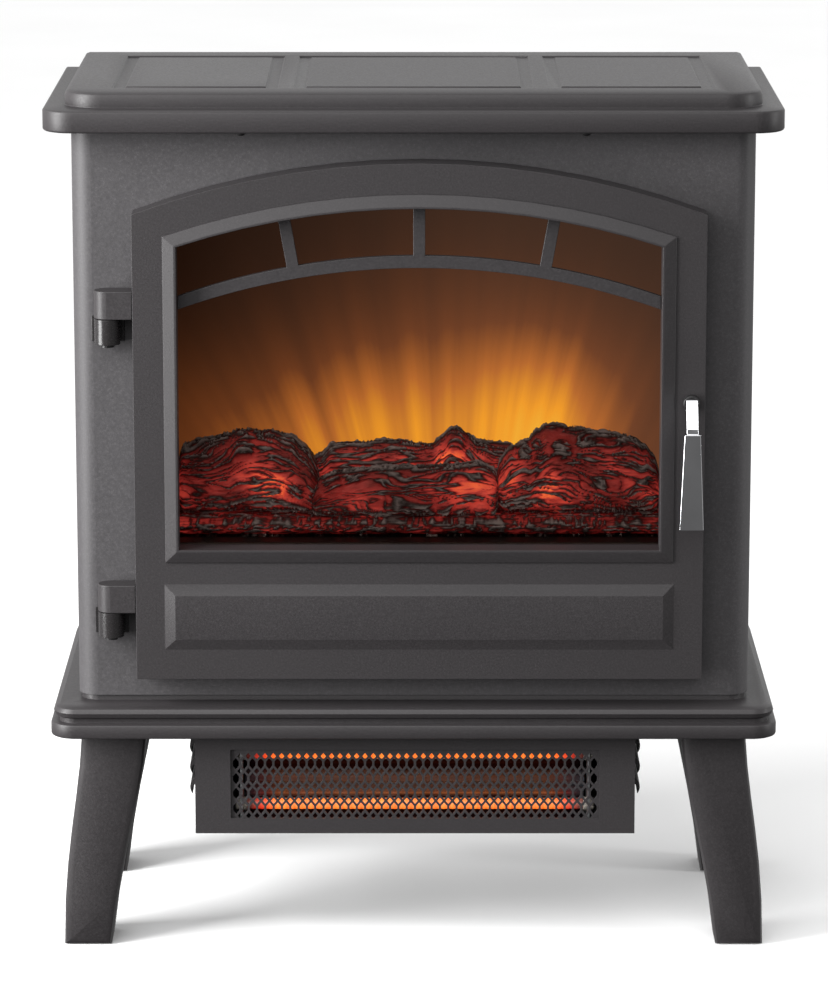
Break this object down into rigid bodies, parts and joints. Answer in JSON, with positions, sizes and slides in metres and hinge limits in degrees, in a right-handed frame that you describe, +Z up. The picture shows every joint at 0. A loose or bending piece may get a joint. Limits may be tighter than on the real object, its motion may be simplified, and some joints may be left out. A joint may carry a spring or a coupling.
{
  "type": "electric stove heater",
  "caption": "Free-standing electric stove heater on four splayed legs, with an arched swinging door over a glowing log fire and a tubular heater under the base.",
  "frame": {"origin": "on the floor, at the middle of the area that the stove covers", "axes": "+Z up, the front with the door faces -Y, +X is to the right of someone looking at the front"},
  "size_m": [0.5092, 0.278, 0.6076],
  "materials": {
    "charcoal_coat": "fine textured powder coat",
    "dark_steel": "satin black",
    "galvanised": "plain zinc",
    "chrome": "polished",
    "polished_reflector": "polished",
    "black_plastic": "moulded",
    "log_resin": "painted resin bark",
    "smoked_glass": "clear, smoked",
    "flame_screen": "diffusing sheet",
    "quartz": "glowing tube",
    "ceramic": "fired",
    "circuit_board": "lacquered"
  },
  "bodies": {
    "cabinet": {"top_plate": "charcoal_coat", "top_screw_left": "dark_steel", "top_screw_right": "dark_steel", "body_shell": "charcoal_coat", "rear_cover": "dark_steel", "cord_bushing": "black_plastic", "base_plate": "charcoal_coat", "leg_front_right": "charcoal_coat", "leg_front_left": "charcoal_coat", "leg_rear_right": "charcoal_coat", "leg_rear_left": "charcoal_coat", "hinge_knuckle_upper": "charcoal_coat", "hinge_pin_upper": "dark_steel", "hinge_knuckle_lower": "charcoal_coat", "hinge_pin_lower": "dark_steel", "magnet_catch": "black_plastic", "firebox_liner": "dark_steel", "flame_screen": "flame_screen", "ember_bed": "log_resin", "log_left": "log_resin", "log_right": "log_resin", "log_front": "log_resin", "log_back": "log_resin", "rotor_bracket": "galvanised", "flame_motor": "galvanised", "flame_led_board": "circuit_board", "ember_led_board": "circuit_board", "heater_housing": "charcoal_coat", "heater_grille": "dark_steel", "heater_reflector": "polished_reflector", "heater_tube_upper": "quartz", "heater_tube_lower": "quartz", "tube_holder_left": "galvanised", "tube_holder_right": "galvanised", "blower_housing": "galvanised", "blower_motor": "galvanised", "thermal_cutout": "ceramic", "control_panel": "black_plastic", "display_window": "smoked_glass", "control_board": "circuit_board", "power_board": "circuit_board"},
    "door": {"door_panel": "charcoal_coat", "window_frame": "charcoal_coat", "window_fretwork": "charcoal_coat", "door_glass": "smoked_glass", "glass_retainer_left": "dark_steel", "glass_retainer_right": "dark_steel", "hinge_sleeve_upper": "charcoal_coat", "hinge_sleeve_lower": "charcoal_coat", "handle_escutcheon": "dark_steel", "striker_plate": "galvanised"},
    "handle": {"handle_lever": "chrome", "handle_nut": "galvanised"},
    "flame_rotor": {"flame_rotor": "polished_reflector"},
    "blower_wheel": {"blower_wheel": "dark_steel"},
    "button_power": {"button_power": "black_plastic"},
    "button_flame": {"button_flame": "black_plastic"},
    "button_timer": {"button_timer": "black_plastic"},
    "button_temperature_down": {"button_temperature_down": "black_plastic"},
    "button_temperature_up": {"button_temperature_up": "black_plastic"}
  },
  "joints": [
    {"name": "door_hinge", "type": "hinge", "parent": "cabinet", "child": "door", "pos_m": [-0.211, -0.101, 0.35], "axis": [0, 0, -1], "range_deg": [0, 110]},
    {"name": "handle_turn", "type": "hinge", "parent": "door", "child": "handle", "pos_m": [0.191, -0.12, 0.396], "axis": [0, 1, 0], "range_deg": [0, 90]},
    {"name": "flame_rotor_spin", "type": "hinge", "parent": "cabinet", "child": "flame_rotor", "pos_m": [0, 0.055, 0.33], "axis": [1, 0, 0], "continuous": true},
    {"name": "blower_spin", "type": "hinge", "parent": "cabinet", "child": "blower_wheel", "pos_m": [0, -0.002, 0.118], "axis": [1, 0, 0], "continuous": true},
    {"name": "press_power", "type": "slide", "parent": "cabinet", "child": "button_power", "axis": [0, 1, 0], "range_m": [0, 0.0015], "stiffness_N_per_m": 400},
    {"name": "press_flame", "type": "slide", "parent": "cabinet", "child": "button_flame", "axis": [0, 1, 0], "range_m": [0, 0.0015], "stiffness_N_per_m": 400},
    {"name": "press_timer", "type": "slide", "parent": "cabinet", "child": "button_timer", "axis": [0, 1, 0], "range_m": [0, 0.0015], "stiffness_N_per_m": 400},
    {"name": "press_temperature_down", "type": "slide", "parent": "cabinet", "child": "button_temperature_down", "axis": [0, 1, 0], "range_m": [0, 0.0015], "stiffness_N_per_m": 400},
    {"name": "press_temperature_up", "type": "slide", "parent": "cabinet", "child": "button_temperature_up", "axis": [0, 1, 0], "range_m": [0, 0.0015], "stiffness_N_per_m": 400}
  ]
}
